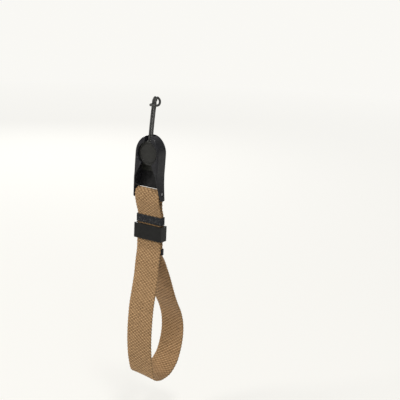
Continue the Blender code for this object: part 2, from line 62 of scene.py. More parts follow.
mergeReach = 1e-6        # points closer than this are one point
samePlane = 1e-5         # faces closer than this lie in one plane
scene = bpy.context.scene
scene.view_settings.view_transform = "Standard"


# small tools for working on one object at a time

def takeUp(obj):
    for other in bpy.context.selected_objects:
        other.select_set(False)
    obj.select_set(True)
    bpy.context.view_layer.objects.active = obj
    return obj


def editAll(obj):
    takeUp(obj)
    bpy.ops.object.mode_set(mode="EDIT")
    bpy.ops.mesh.select_all(action="SELECT")


def leaveEdit():
    bpy.ops.object.mode_set(mode="OBJECT")


def deselectMesh(obj, kind):
    takeUp(obj)
    bpy.ops.object.mode_set(mode="EDIT")
    bpy.ops.mesh.select_mode(type=kind)
    bpy.ops.mesh.select_all(action="DESELECT")
    leaveEdit()


def pickFaces(obj, test):
    # edit mode with only the faces selected that pass the test
    deselectMesh(obj, "FACE")
    for face in obj.data.polygons:
        face.select = test(face)
    bpy.ops.object.mode_set(mode="EDIT")


def pickEdges(obj, test):
    # edit mode with only the edges selected whose two ends pass the test
    deselectMesh(obj, "EDGE")
    for edge in obj.data.edges:
        edge.select = test(*(obj.data.vertices[i].co for i in edge.vertices))
    bpy.ops.object.mode_set(mode="EDIT")


def cutAcross(obj, height):
    editAll(obj)
    bpy.ops.mesh.bisect(plane_co=(0, 0, height), plane_no=(0, 0, 1))
    leaveEdit()


def placeInMesh(obj):
    takeUp(obj)
    bpy.ops.object.transform_apply(location=True, rotation=True, scale=True)


def addBlock(low, high):
    # a box between two corners, as the start of a piece
    bpy.ops.mesh.primitive_cube_add(size=1, location=(low + high) / 2, scale=high - low)
    block = bpy.context.object
    placeInMesh(block)
    return block


def applyModifiers(obj):
    takeUp(obj)
    for step in list(obj.modifiers):
        bpy.ops.object.modifier_apply(modifier=step.name)


def roundEdges(obj, width, segments=2, angle=35):
    step = obj.modifiers.new("rounded edges", "BEVEL")
    step.width = width
    step.segments = segments
    step.limit_method = "ANGLE"
    step.angle_limit = math.radians(angle)


def shadeSmooth(obj, angle):
    takeUp(obj)
    bpy.ops.object.shade_smooth_by_angle(angle=math.radians(angle))
    evenOut = obj.modifiers.new("even shading", "WEIGHTED_NORMAL")
    evenOut.keep_sharp = True
    applyModifiers(obj)


def finishPiece(obj, name, body, material, nodes):
    obj.name = name
    obj.data.name = name
    obj.data.materials.clear()
    obj.data.materials.append(material)
    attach(obj, body)
    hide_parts(*nodes)


def smoothLine(points, perSpan):
    # a curve through the points, with perSpan stretches between two of them
    pts = [Vector(p) for p in points]
    pts = [2 * pts[0] - pts[1]] + pts + [2 * pts[-1] - pts[-2]]
    line = []
    for i in range(1, len(pts) - 2):
        before, a, b, after = pts[i - 1:i + 3]
        for j in range(perSpan):
            t = j / perSpan
            line.append(0.5 * ((2 * a) + (b - before) * t
                               + (2 * before - 5 * a + 4 * b - after) * t ** 2
                               + (3 * a - 3 * b + after - before) * t ** 3))
    line.append(pts[-2])
    return np.array([list(p) for p in line])


def evenSteps(line, step):
    # the line with points an even step apart, and how far along each of them is
    along = np.concatenate([[0.0], np.cumsum(np.linalg.norm(np.diff(line, axis=0), axis=1))])
    count = max(2, round(along[-1] / step))
    places = np.linspace(0.0, along[-1], count + 1)
    return np.stack([np.interp(places, along, line[:, k]) for k in range(line.shape[1])], 1), places


def tangents(line):
    ahead = np.gradient(line, axis=0)
    return ahead / np.linalg.norm(ahead, axis=1)[:, None]


def wrappedGrid(rows):
    # skins rows of points, closed round each row and filled at both ends
    count, around = rows.shape[:2]
    bpy.ops.mesh.primitive_grid_add(x_subdivisions=around, y_subdivisions=count - 1, size=1)
    obj = takeUp(bpy.context.object)
    closed = np.concatenate([rows, rows[:, :1]], axis=1)
    obj.data.vertices.foreach_set("co", closed.reshape(-1))
    editAll(obj)
    bpy.ops.mesh.remove_doubles(threshold=mergeReach)
    bpy.ops.mesh.select_all(action="SELECT")
    bpy.ops.mesh.fill_holes(sides=0)
    bpy.ops.mesh.select_all(action="SELECT")
    bpy.ops.mesh.normals_make_consistent(inside=False)
    leaveEdit()
    return obj


def nearestValues(obj, name, places, values, kind):
    # stores a value on each point, taken from the point of the same place
    tree = KDTree(len(places))
    for i, place in enumerate(places):
        tree.insert(place, i)
    tree.balance()
    order = [tree.find(vert.co)[1] for vert in obj.data.vertices]
    attribute = obj.data.attributes.new(name, kind, "POINT")
    key = "vector" if kind == "FLOAT_VECTOR" else "value"
    attribute.data.foreach_set(key, np.array(values, np.float32)[order].reshape(-1))


# the camera stands where the photograph was taken from

view = dict(azimuth=33.04, elevation=15.16, roll=2.534, distance=700 * mm,
            focalPixels=1052.1, framePixels=400, sensor=36.0, nearest=0.01, furthest=50,
            target=(42.449 * mm, -5.65 * mm, -60.79 * mm))


def addCamera():
    a, e = math.radians(view["azimuth"]), math.radians(view["elevation"])
    back = Vector((math.sin(a) * math.cos(e), -math.cos(a) * math.cos(e), math.sin(e)))
    bpy.ops.object.camera_add(location=Vector(view["target"]) + back * view["distance"])
    camera = bpy.context.object
    camera.data.sensor_width = view["sensor"]
    camera.data.lens = view["focalPixels"] / view["framePixels"] * view["sensor"]
    camera.data.clip_start = view["nearest"]
    camera.data.clip_end = view["furthest"]
    looking = back.to_track_quat("Z", "Y").to_matrix().to_4x4()
    turn = Matrix.Rotation(math.radians(view["roll"]), 4, "Z")
    camera.matrix_world = Matrix.Translation(camera.location) @ looking @ turn
    scene.camera = camera


addCamera()
print("stage: camera")


# node work that the materials share

class Nodes:
    # adds nodes to a tree and links them, left to right
    def __init__(self, tree):
        self.tree = tree

    def add(self, kind, **settings):
        node = self.tree.nodes.new(kind)
        for key, value in settings.items():
            setattr(node, key, value)
        return node

    def link(self, source, target):
        self.tree.links.new(source, target)

    def put(self, socket, value):
        if isinstance(value, bpy.types.NodeSocket):
            self.link(value, socket)
        else:
            socket.default_value = value

    def math(self, operation, a, b=None, c=None, clamp=False):
        node = self.add("ShaderNodeMath", operation=operation, use_clamp=clamp)
        for socket, value in zip(node.inputs, (a, b, c)):
            if value is not None:
                self.put(socket, value)
        return node.outputs[0]

    def mix(self, factor, dark, light):
        node = self.add("ShaderNodeMix", data_type="RGBA")
        for index, value in ((0, factor), (6, dark), (7, light)):
            self.put(node.inputs[index], (*value, 1) if isinstance(value, tuple) else value)
        return node.outputs[2]

    def noise(self, vector, scale, detail):
        node = self.add("ShaderNodeTexNoise")
        self.put(node.inputs["Vector"], vector)
        self.put(node.inputs["Scale"], scale)
        self.put(node.inputs["Detail"], detail)
        return node.outputs["Fac"]

    def spread(self, value, low, high, toLow=0.0, toHigh=1.0):
        node = self.add("ShaderNodeMapRange")
        self.link(value, node.inputs["Value"])
        for name, number in (("From Min", low), ("From Max", high), ("To Min", toLow), ("To Max", toHigh)):
            node.inputs[name].default_value = number
        return node.outputs["Result"]

    def place(self):
        return self.add("ShaderNodeTexCoord").outputs["Object"]

    def bump(self, shader, height, strength, distance):
        node = self.add("ShaderNodeBump")
        node.inputs["Strength"].default_value = strength
        node.inputs["Distance"].default_value = distance
        self.link(height, node.inputs["Height"])
        self.link(node.outputs["Normal"], shader.inputs["Normal"])


def newGroup(name, inputs, outputs):
    tree = bpy.data.node_groups.new(name, "ShaderNodeTree")
    for label, kind, value in inputs:
        socket = tree.interface.new_socket(label, in_out="INPUT", socket_type=kind)
        if value is not None:
            socket.default_value = value
    for label in outputs:
        tree.interface.new_socket(label, in_out="OUTPUT", socket_type="NodeSocketFloat")
    nodes = Nodes(tree)
    return nodes, nodes.add("NodeGroupInput").outputs, nodes.add("NodeGroupOutput").inputs


def newMaterial(name, roughness, metallic=0.0, specular=0.5):
    material = bpy.data.materials.new(name)
    material.use_nodes = True
    shader = material.node_tree.nodes["Principled BSDF"]
    shader.inputs["Roughness"].default_value = roughness
    shader.inputs["Metallic"].default_value = metallic
    shader.inputs["Specular IOR Level"].default_value = specular
    return material, Nodes(material.node_tree), shader


# moulded plastic

mouldShape = dict(detail=2.0, patches=160.0, tone=420.0, toneDetail=3.0, grainRoughness=0.12)


def makeMouldGroup():
    # the fine sparked surface of moulded plastic, with a few smoother rubbed places
    nodes, given, result = newGroup(
        "mouldedSurface",
        [("Vector", "NodeSocketVector", None), ("Grain", "NodeSocketFloat", 9000.0),
         ("Roughness", "NodeSocketFloat", 0.4), ("Rubbed", "NodeSocketFloat", 0.08)],
        ["Roughness", "Height", "Tone"])
    grain = nodes.noise(given["Vector"], given["Grain"], mouldShape["detail"])
    patches = nodes.noise(given["Vector"], mouldShape["patches"], mouldShape["detail"])
    tone = nodes.noise(given["Vector"], mouldShape["tone"], mouldShape["toneDetail"])
    rubbed = nodes.math("SUBTRACT", patches, 0.5)
    rough = nodes.math("MULTIPLY_ADD", rubbed, given["Rubbed"], given["Roughness"])
    rough = nodes.math("MULTIPLY_ADD", nodes.math("SUBTRACT", grain, 0.5), mouldShape["grainRoughness"], rough)
    nodes.link(rough, result["Roughness"])
    nodes.link(grain, result["Height"])
    nodes.link(tone, result["Tone"])
    return nodes.tree


plastics = dict(
    housing=dict(name="blackNylon", dark=(0.014, 0.014, 0.016), light=(0.02, 0.02, 0.023),
                 roughness=0.28, rubbed=0.08, grain=8000.0, bump=0.12, gloss=0.22),
    cover=dict(name="blackNylonBack", dark=(0.012, 0.012, 0.013), light=(0.018, 0.018, 0.019),
               roughness=0.4, rubbed=0.1, grain=8000.0, bump=0.3, gloss=0.15),
    disc=dict(name="greyAcetal", dark=(0.016, 0.016, 0.015), light=(0.024, 0.024, 0.022),
              roughness=0.42, rubbed=0.1, grain=7000.0, bump=0.35, gloss=0.25),
    keeper=dict(name="keeperNylon", dark=(0.005, 0.005, 0.005), light=(0.009, 0.009, 0.009),
                roughness=0.32, rubbed=0.1, grain=8000.0, bump=0.25, gloss=0.18),
    plate=dict(name="floorAcetal", dark=(0.018, 0.019, 0.016), light=(0.025, 0.026, 0.022),
               roughness=0.42, rubbed=0.1, grain=7000.0, bump=0.3, gloss=0.2))


def mouldedPlastic(group, look):
    material, nodes, shader = newMaterial(look["name"], look["roughness"], specular=look["gloss"])
    surface = nodes.add("ShaderNodeGroup", node_tree=group)
    nodes.link(nodes.place(), surface.inputs["Vector"])
    for label, key in (("Grain", "grain"), ("Roughness", "roughness"), ("Rubbed", "rubbed")):
        surface.inputs[label].default_value = look[key]
    tone = nodes.spread(surface.outputs["Tone"], 0.35, 0.65)
    nodes.link(nodes.mix(tone, look["dark"], look["light"]), shader.inputs["Base Color"])
    nodes.link(surface.outputs["Roughness"], shader.inputs["Roughness"])
    nodes.bump(shader, surface.outputs["Height"], look["bump"], 0.02 * mm)
    return material


# woven webbing; the weave's vector is across and along, in millimetres

weaveShape = dict(ribs=0.24, counterRibs=0.13, rows=0.16, yarnLean=-0.35, yarnHeight=0.12)
webbingLook = dict(dark=(0.115, 0.062, 0.024), light=(0.49, 0.305, 0.155), grime=(0.24, 0.143, 0.065),
                   pitchAcross=3.12, pitchAlong=2.44, yarn=0.3, uneven=0.2, yarns=0.08,
                   specks=2600.0, speckTone=0.12, wear=60.0, wornTo=0.2, fuzz=6000.0, fuzzHeight=0.3)


def makeWeaveGroup():
    # rows of short floats, each row half a float further on
    nodes, given, result = newGroup(
        "weave",
        [("Vector", "NodeSocketVector", None), ("Pitch Across", "NodeSocketFloat", 3.0),
         ("Pitch Along", "NodeSocketFloat", 2.5), ("Yarn", "NodeSocketFloat", 0.3)],
        ["Floats", "Uneven", "Yarns", "Height"])
    split = nodes.add("ShaderNodeSeparateXYZ")
    nodes.link(given["Vector"], split.inputs[0])
    across = nodes.math("DIVIDE", split.outputs[0], given["Pitch Across"])
    along = nodes.math("DIVIDE", split.outputs[1], given["Pitch Along"])
    leftRibs = nodes.math("COSINE", nodes.math("MULTIPLY", nodes.math("SUBTRACT", across, along), fullTurn))
    rightRibs = nodes.math("COSINE", nodes.math("MULTIPLY", nodes.math("ADD", across, along), fullTurn))
    rows = nodes.math("COSINE", nodes.math("MULTIPLY", along, 2 * fullTurn))
    # floats is high on each float and low in the gaps between them; used as colour it paints shade into the gaps
    floats = nodes.math("MULTIPLY_ADD", rightRibs, weaveShape["counterRibs"], 0.5)
    floats = nodes.math("MULTIPLY_ADD", leftRibs, weaveShape["ribs"], floats)
    floats = nodes.math("MULTIPLY_ADD", rows, weaveShape["rows"], floats)
    # each float is a little lighter or darker than its neighbours
    cell = nodes.add("ShaderNodeCombineXYZ")
    for index, value in enumerate((across, along)):
        nodes.link(nodes.math("ROUND", nodes.math("MULTIPLY", value, 2.0)), cell.inputs[index])
    chance = nodes.add("ShaderNodeTexWhiteNoise", noise_dimensions="3D")
    nodes.link(cell.outputs[0], chance.inputs["Vector"])
    uneven = nodes.math("SUBTRACT", chance.outputs["Value"], 0.5)
    # the fine yarns in each float lean with the ribs
    leaning = nodes.math("MULTIPLY_ADD", split.outputs[0], weaveShape["yarnLean"], split.outputs[1])
    yarns = nodes.math("SINE", nodes.math("MULTIPLY", nodes.math("DIVIDE", leaning, given["Yarn"]), fullTurn))
    nodes.link(floats, result["Floats"])
    nodes.link(uneven, result["Uneven"])
    nodes.link(yarns, result["Yarns"])
    nodes.link(nodes.math("MULTIPLY_ADD", yarns, weaveShape["yarnHeight"], floats), result["Height"])
    return nodes.tree


def makeWebbingMaterial():
    look = webbingLook
    material, nodes, shader = newMaterial("tanWebbing", 0.9, specular=0.2)
    shader.inputs["Sheen Weight"].default_value = 0.1
    shader.inputs["Sheen Roughness"].default_value = 0.5
    place = nodes.place()
    weave = nodes.add("ShaderNodeGroup", node_tree=makeWeaveGroup())
    nodes.link(nodes.add("ShaderNodeAttribute", attribute_name="thread").outputs["Vector"], weave.inputs["Vector"])
    for label, key in (("Pitch Across", "pitchAcross"), ("Pitch Along", "pitchAlong"), ("Yarn", "yarn")):
        weave.inputs[label].default_value = look[key]
    # the floats are painted light and the gaps between them dark: the weave's own pattern, with painted shade in the
    # gaps
    lit = nodes.math("MULTIPLY_ADD", weave.outputs["Uneven"], look["uneven"], weave.outputs["Floats"])
    lit = nodes.math("MULTIPLY_ADD", weave.outputs["Yarns"], look["yarns"], lit)
    specks = nodes.spread(nodes.noise(place, look["specks"], 2.0), 0.3, 0.7, -look["speckTone"], look["speckTone"])
    lit = nodes.math("ADD", lit, specks)
    colour = nodes.mix(nodes.spread(lit, 0.0, 1.0), look["dark"], look["light"])
    worn = nodes.spread(nodes.noise(place, look["wear"], 3.0), 0.45, 0.8, 0.0, look["wornTo"])
    nodes.link(nodes.mix(worn, colour, look["grime"]), shader.inputs["Base Color"])
    fuzz = nodes.noise(place, look["fuzz"], 2.0)
    height = nodes.math("MULTIPLY_ADD", fuzz, look["fuzzHeight"], weave.outputs["Height"])
    nodes.bump(shader, height, 0.5, 0.08 * mm)
    return material


# braided cord, wrapping tape and the pin's steel

cordLook = dict(dark=(0.018, 0.018, 0.018), light=(0.09, 0.09, 0.086), specks=5000.0, speckTone=0.15, fuzz=7000.0)
tapeLook = dict(dark=(0.012, 0.013, 0.016), light=(0.12, 0.12, 0.12), flecks=1500.0, patches=1200.0)
steelLook = dict(dark=(0.2, 0.2, 0.21), light=(0.4, 0.4, 0.41), drawn=(60.0, 4000.0, 4000.0))


def makeCordMaterial():
    look = cordLook
    material, nodes, shader = newMaterial("greyCord", 0.8, specular=0.3)
    # the braid's crests are painted light and its grooves dark: the braid's pattern, with painted shade in the
    # grooves between strands
    strand = nodes.add("ShaderNodeAttribute", attribute_name="strand").outputs["Fac"]
    place = nodes.place()
    specks = nodes.spread(nodes.noise(place, look["specks"], 2.0), 0.35, 0.65, -look["speckTone"], look["speckTone"])
    lit = nodes.math("ADD", strand, specks, clamp=True)
    nodes.link(nodes.mix(lit, look["dark"], look["light"]), shader.inputs["Base Color"])
    nodes.bump(shader, nodes.noise(place, look["fuzz"], 2.0), 0.4, 0.03 * mm)
    return material


def makeTapeMaterial():
    look = tapeLook
    material, nodes, shader = newMaterial("wrapTape", 0.75, specular=0.2)
    place = nodes.place()
    flecks = nodes.add("ShaderNodeTexVoronoi")
    nodes.link(place, flecks.inputs["Vector"])
    flecks.inputs["Scale"].default_value = look["flecks"]
    lit = nodes.spread(flecks.outputs["Distance"], 0.15, 0.55, 1.0, 0.0)
    some = nodes.spread(nodes.noise(place, look["patches"], 1.0), 0.5, 0.62)
    lit = nodes.math("MULTIPLY", lit, some)
    nodes.link(nodes.mix(lit, look["dark"], look["light"]), shader.inputs["Base Color"])
    nodes.bump(shader, flecks.outputs["Distance"], 0.4, 0.05 * mm)
    return material


def makeSteelMaterial():
    look = steelLook
    material, nodes, shader = newMaterial("drawnSteel", 0.32, metallic=1.0)
    stretched = nodes.add("ShaderNodeMapping")
    nodes.link(nodes.place(), stretched.inputs["Vector"])
    stretched.inputs["Scale"].default_value = look["drawn"]
    lines = nodes.noise(stretched.outputs[0], 1.0, 3.0)
    nodes.link(nodes.mix(lines, look["dark"], look["light"]), shader.inputs["Base Color"])
    nodes.link(nodes.spread(lines, 0.3, 0.7, 0.25, 0.42), shader.inputs["Roughness"])
    return material


mouldGroup = makeMouldGroup()
moulded = {key: mouldedPlastic(mouldGroup, look) for key, look in plastics.items()}
webbingCloth = makeWebbingMaterial()
cordCloth = makeCordMaterial()
tapeCloth = makeTapeMaterial()
pinSteel = makeSteelMaterial()
print("stage: materials")


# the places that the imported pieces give

capLow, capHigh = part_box("anchor_cap")
discMiddle = Vector((0, (capLow.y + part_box("anchor_base")[1].y) / 2, (capLow.z + capHigh.z) / 2))
discRadius = (capHigh.x - capLow.x) / 2
pinLow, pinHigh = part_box("crossbar_pin")
pinMiddle = (pinLow + pinHigh) / 2
pinRadius = (pinHigh.z - pinLow.z) / 2
keeperLow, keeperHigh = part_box("keeper")
lowerLow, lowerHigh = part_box("lower_wrap")
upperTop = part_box("upper_wrap")[1].z
strapY = (keeperLow.y + keeperHigh.y) / 2


# anchor cord, from the knot up the left strand, round the bar as a hitch, and down the right strand

cordSizes = dict(diameter=1.6 * mm, spacing=1.95 * mm, bar=2.2 * mm, barGap=0.1 * mm, standOff=0.25 * mm,
                 hitchDrop=2.9 * mm, hitchSpread=2.65 * mm, knotHeight=3.4 * mm, gap=0.3 * mm, bow=0.25 * mm,
                 braidPitch=3.2 * mm, strands=8, relief=0.05 * mm, sides=32, step=0.2 * mm, perSpan=12, pathEvery=3)


def cordRoute():
    x = cordSizes["spacing"] / 2
    roundBar = (cordSizes["bar"] + cordSizes["diameter"]) / 2 + cordSizes["barGap"]
    start = cordSizes["knotHeight"] / 2 + cordSizes["gap"]
    drop, spread = cordSizes["hitchDrop"], cordSizes["hitchSpread"]
    discY, discZ = discMiddle.y, discMiddle.z
    lean = -discY - roundBar
    rise = -discZ - discRadius
    left = [(-x, discY, discZ + height) for height in (start, (start + discRadius) / 2, discRadius)]
    # bowed forward a little, so that it clears the spring plate when the link is pushed up
    left += [(-x, discY + lean * part - cordSizes["bow"] * math.sin(math.pi * part),
              discZ + discRadius + rise * part) for part in (0.25, 0.5, 0.75)]
    # over the bar, down behind it, and forward round both strands
    left += [(-x, -roundBar - cordSizes["standOff"], -drop), (-x, -roundBar, 0.0), (-x, 0.0, roundBar),
             (-x * 1.5, roundBar, 0.0), (-x * 2.2, roundBar * 0.5, -drop * 0.72),
             (-spread, -roundBar * 0.75, -drop),
             (-spread * 0.88, -roundBar * 1.6, -drop),
             (-spread * 0.45, -roundBar * 2.15, -drop)]
    return left + [(-a, b, c) for a, b, c in reversed(left)]


def addCord():
    line, along = evenSteps(smoothLine(cordRoute(), cordSizes["perSpan"]), cordSizes["step"])
    ahead = tangents(line)
    # a side direction carried along the line without twisting
    side = np.zeros_like(line)
    side[0] = (1, 0, 0)
    for i in range(1, len(line)):
        carried = side[i - 1] - ahead[i] * side[i - 1].dot(ahead[i])
        side[i] = carried / np.linalg.norm(carried)
    other = np.cross(ahead, side)
    turns = np.linspace(0, fullTurn, cordSizes["sides"], endpoint=False)
    twist = fullTurn * along[:, None] / cordSizes["braidPitch"]
    half = cordSizes["strands"] / 2
    braid = np.cos(half * turns[None] + twist) * np.cos(half * turns[None] - twist)
    mask = 0.5 + 0.5 * braid
    radius = cordSizes["diameter"] / 2 - cordSizes["relief"] * (1 - mask)
    rows = (line[:, None] + side[:, None] * (radius * np.cos(turns))[..., None]
            + other[:, None] * (radius * np.sin(turns))[..., None])
    cord = wrappedGrid(rows)
    # the same mask colours the cord, darker in the grooves: painted shade between the strands
    nearestValues(cord, "strand", rows.reshape(-1, 3), mask.reshape(-1), "FLOAT")
    takeUp(cord)
    bpy.ops.object.shade_smooth()
    finishPiece(cord, "anchorCord", "anchor", cordCloth, ["anchor_cord"])
    return along[-1]


cordLength = addCord()
print("stage: cord, %.1f mm" % (cordLength / mm))


# webbing, one length from the joint in the lower wrap up the back run, over the pin and round the wrist loop

webbing = dict(width=20.5 * mm, thickness=1.4 * mm, runGap=0.7 * mm, buttGap=0.4 * mm, pinGap=0.3 * mm,
               loopHeight=94.6 * mm, loopFront=8.35 * mm, loopBack=31.05 * mm, tilt=math.radians(10.5),
               twist=math.radians(3.5), twistReach=40 * mm, pitchAcross=webbingLook["pitchAcross"] * mm,
               pitchAlong=webbingLook["pitchAlong"] * mm, ribs=0.33, counterRibs=0.17,
               relief=0.18 * mm, scallop=0.25 * mm, step=0.4 * mm, perSpan=16, columns=40, edgeSteps=3)
# how the two runs close in from the pin, as shares of their rise and of the pin's offset
closing = dict(straight=0.4 * mm, low=0.33, high=0.68, offset=0.6, frontEase=1.2, hug=0.86,
               overFrom=-8, overTo=188, overSteps=8)
# the wrist loop, as shares out from the runs and down from the lower wrap
loopShape = dict(
    front=[(0.0, -0.02), (0.18, 0.086), (0.29, 0.18), (0.53, 0.285), (0.84, 0.425), (0.98, 0.61),
           (0.91, 0.745), (0.67, 0.865), (0.25, 0.962)],
    back=[(0.11, 0.997), (0.31, 1.0), (0.55, 0.985), (0.765, 0.933), (0.872, 0.88), (0.96, 0.802),
          (1.0, 0.717), (0.975, 0.625), (0.87, 0.53), (0.72, 0.447), (0.575, 0.358), (0.393, 0.23),
          (0.262, 0.146), (0.118, 0.06), (0.03, 0.02)])
arms = dict(seat=8.7 * mm, inner=11.0 * mm, flareStart=13.9 * mm, end=32.2 * mm, curve=1.3, gap=0.3 * mm)
runOffset = (webbing["thickness"] + webbing["runGap"]) / 2


def upperRuns():
    wrap = pinRadius + webbing["pinGap"] + webbing["thickness"] / 2
    hug = wrap * closing["hug"]
    pinY = pinMiddle.y - strapY
    midY = pinY * closing["offset"]
    straightTo = upperTop + closing["straight"]
    rise = pinMiddle.z - straightTo
    low = straightTo + rise * closing["low"]
    high = straightTo + rise * closing["high"]
    front = [(-runOffset, keeperHigh.z), (-runOffset, straightTo),
             (midY - runOffset * closing["frontEase"], low), (pinY - hug, high)]
    back = [(pinY + hug, high), (midY + runOffset, low), (runOffset, straightTo), (runOffset, keeperHigh.z)]
    first, last, steps = closing["overFrom"], closing["overTo"], closing["overSteps"]
    turns = [math.radians(first + (last - first) * i / steps) for i in range(steps + 1)]
    over = [(pinY - wrap * math.cos(t), pinMiddle.z + wrap * math.sin(t)) for t in turns]
    return front, over, back


def loopLine():
    top, height = lowerLow.z, webbing["loopHeight"]
    line = [(-runOffset - webbing["loopFront"] * a, top - height * b) for a, b in loopShape["front"]]
    return line + [(runOffset + webbing["loopBack"] * a, top - height * b) for a, b in loopShape["back"]]


def webbingLine():
    joint = (lowerHigh.z + lowerLow.z) / 2
    halfGap = webbing["buttGap"] / 2
    front, over, back = upperRuns()
    knots = [(runOffset, joint + halfGap), (runOffset, lowerHigh.z)]
    knots += back[::-1] + over[::-1] + front[::-1]
    knots += [(-runOffset, keeperLow.z), (-runOffset, lowerHigh.z)]
    knots += loopLine()
    return knots + [(runOffset, lowerLow.z), (runOffset, joint - halfGap)]


def webbingHalf(height):
    # half the width, drawn in where the webbing passes between the arms
    half = np.full_like(height, webbing["width"] / 2)
    drop = discMiddle.z - height
    share = (drop - arms["flareStart"]) / (arms["end"] - arms["flareStart"])
    spread = np.clip(share, 0, None) ** arms["curve"]
    between = arms["seat"] + (arms["inner"] - arms["seat"]) * spread - arms["gap"]
    return np.where(height > discMiddle.z - arms["end"], np.minimum(half, between), half)


def webbingTurn(height, goingBack):
    # the bottom of the loop is tilted, and its sides are twisted a little the other way
    bottom = np.clip(goingBack, 0, None) ** 2
    fade = np.clip((lowerLow.z - height) / webbing["twistReach"], 0, 1)
    turn = webbing["tilt"] * bottom - webbing["twist"] * (1 - bottom) * fade
    return np.where(height > lowerLow.z, 0.0, turn)


def addWebbing():
    line, along = evenSteps(smoothLine(webbingLine(), webbing["perSpan"]), webbing["step"])
    ahead = tangents(line)
    turn = webbingTurn(line[:, 1], ahead[:, 0])
    zero = np.zeros(len(line))
    out = np.stack([zero, ahead[:, 1], -ahead[:, 0]], 1)
    side = np.stack([zero + 1, zero, zero], 1)
    cosTurn, sinTurn = np.cos(turn)[:, None], np.sin(turn)[:, None]
    across = side * cosTurn + out * sinTurn
    facing = out * cosTurn - side * sinTurn
    middle = np.stack([zero, strapY + line[:, 0], line[:, 1]], 1)

    # the section: outer face, right edge, inner face, left edge, as shares of half the width and thickness
    columns, edgeSteps = webbing["columns"], webbing["edgeSteps"]
    face = np.linspace(-1, 1, columns + 1)
    bend = np.array([math.pi / 2 * (1 - 2 * (i + 1) / (edgeSteps + 1)) for i in range(edgeSteps)])
    shareAcross = np.concatenate([face, np.ones(edgeSteps), face[::-1], -np.ones(edgeSteps)])
    shareOut = np.concatenate([np.ones(columns + 1), np.sin(bend), -np.ones(columns + 1), -np.sin(bend)])
    bulge = np.concatenate([np.zeros(columns + 1), np.cos(bend), np.zeros(columns + 1), -np.cos(bend)])

    # the floats stand out from both faces, and the edges are drawn in a little at each row
    edge = webbing["thickness"] / 2
    wave = fullTurn * along / webbing["pitchAlong"]
    half = webbingHalf(line[:, 1]) - webbing["scallop"] * (0.5 - 0.5 * np.cos(wave))
    place = shareAcross[None] * (half[:, None] - edge)
    waveAcross = fullTurn * place / webbing["pitchAcross"]
    floats = (0.5 + webbing["ribs"] * np.cos(waveAcross - wave[:, None])
              + webbing["counterRibs"] * np.cos(waveAcross + wave[:, None]))
    depth = (edge - webbing["relief"] * (1 - floats) * np.abs(shareOut)[None]) * shareOut[None]
    reach = place + bulge[None] * edge
    rows = middle[:, None] + across[:, None] * reach[..., None] + facing[:, None] * depth[..., None]
    strap = wrappedGrid(rows)
    thread = np.stack([reach / mm, np.broadcast_to(along[:, None] / mm, reach.shape), 0 * reach], -1)
    nearestValues(strap, "thread", rows.reshape(-1, 3), thread.reshape(-1, 3), "FLOAT_VECTOR")
    takeUp(strap)
    bpy.ops.object.shade_smooth()
    finishPiece(strap, "webbingStrap", "link", webbingCloth, ["webbing"])
    return along[-1]


webbingLength = addWebbing()
print("stage: webbing, %.1f mm" % (webbingLength / mm))


# link and anchor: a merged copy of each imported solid, with its edges rounded

rim = dict(width=0.95 * mm, groove=0.4 * mm, deep=0.4 * mm, depth=0.15 * mm)
seatLip = dict(openingRadius=8.0 * mm, slope=0.6 * mm, reach=0.15 * mm)


def sinkFace(disc):
    # a rim, a groove inside it, and the face a little lower than the rim
    front = min(vert.co.y for vert in disc.data.vertices)
    pickFaces(disc, lambda face: face.normal.y < -0.99 and face.center.y < front + samePlane)
    bpy.ops.mesh.inset(thickness=rim["width"])
    bpy.ops.mesh.inset(thickness=rim["groove"] / 2, depth=-rim["deep"])
    bpy.ops.mesh.inset(thickness=rim["groove"] / 2, depth=rim["deep"] - rim["depth"])
    leaveEdit()


def slopeLip(housing):
    # the front edge of the round opening is cut to a slope that leads down to the disc
    def onRim(place):
        away = math.hypot(place.x - discMiddle.x, place.z - discMiddle.z)
        return abs(away - seatLip["openingRadius"]) < seatLip["reach"] and place.y < capLow.y - seatLip["slope"]

    pickEdges(housing, lambda a, b: onRim(a) and onRim(b))
    bpy.ops.mesh.bevel(offset=seatLip["slope"], segments=1)
    leaveEdit()


def refinedCopy(node, name, body, slotName, material, edge, reshape=None):
    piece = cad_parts[node].copy()
    piece.data = piece.data.copy()
    piece.parent = None
    for key in [key for key in piece.keys() if key.startswith("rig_")]:
        del piece[key]
    scene.collection.objects.link(piece)
    editAll(piece)
    bpy.ops.mesh.remove_doubles(threshold=mergeReach)
    bpy.ops.mesh.select_all(action="SELECT")
    bpy.ops.mesh.dissolve_limited(angle_limit=math.radians(0.5))
    leaveEdit()
    if reshape:
        reshape(piece)
    roundEdges(piece, edge)
    applyModifiers(piece)
    shadeSmooth(piece, 40)
    finishPiece(piece, name, body, material, [node])


mouldings = [
    dict(node="link_frame", name="linkFrame", body="link", slotName="housing",
         material=moulded["housing"], edge=0.2 * mm, reshape=slopeLip),
    dict(node="link_back_cover", name="linkBackCover", body="link", slotName="housing",
         material=moulded["cover"], edge=0.2 * mm),
    dict(node="seat_spring_plate", name="seatSpringPlate", body="link", slotName="spring_plate",
         material=moulded["plate"], edge=0.08 * mm),
    dict(node="crossbar_pin", name="crossbarPin", body="link", slotName="pin",
         material=pinSteel, edge=0.06 * mm),
    dict(node="anchor_base", name="anchorBase", body="anchor", slotName="anchor",
         material=moulded["disc"], edge=0.08 * mm),
    dict(node="anchor_cap", name="anchorCap", body="anchor", slotName="anchor",
         material=moulded["disc"], edge=0.07 * mm, reshape=sinkFace),
]
for moulding in mouldings:
    refinedCopy(**moulding)
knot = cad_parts["anchor_cord_knot"]
knot.data.materials.clear()
knot.data.materials.append(cordCloth)
print("stage: link and anchor")


# keeper, a sleeve with a fine raised lip round both of its mouths

keeper = dict(side=1.05 * mm, face=1.4 * mm, lip=0.9 * mm, lipRise=0.06 * mm, rim=0.28 * mm)


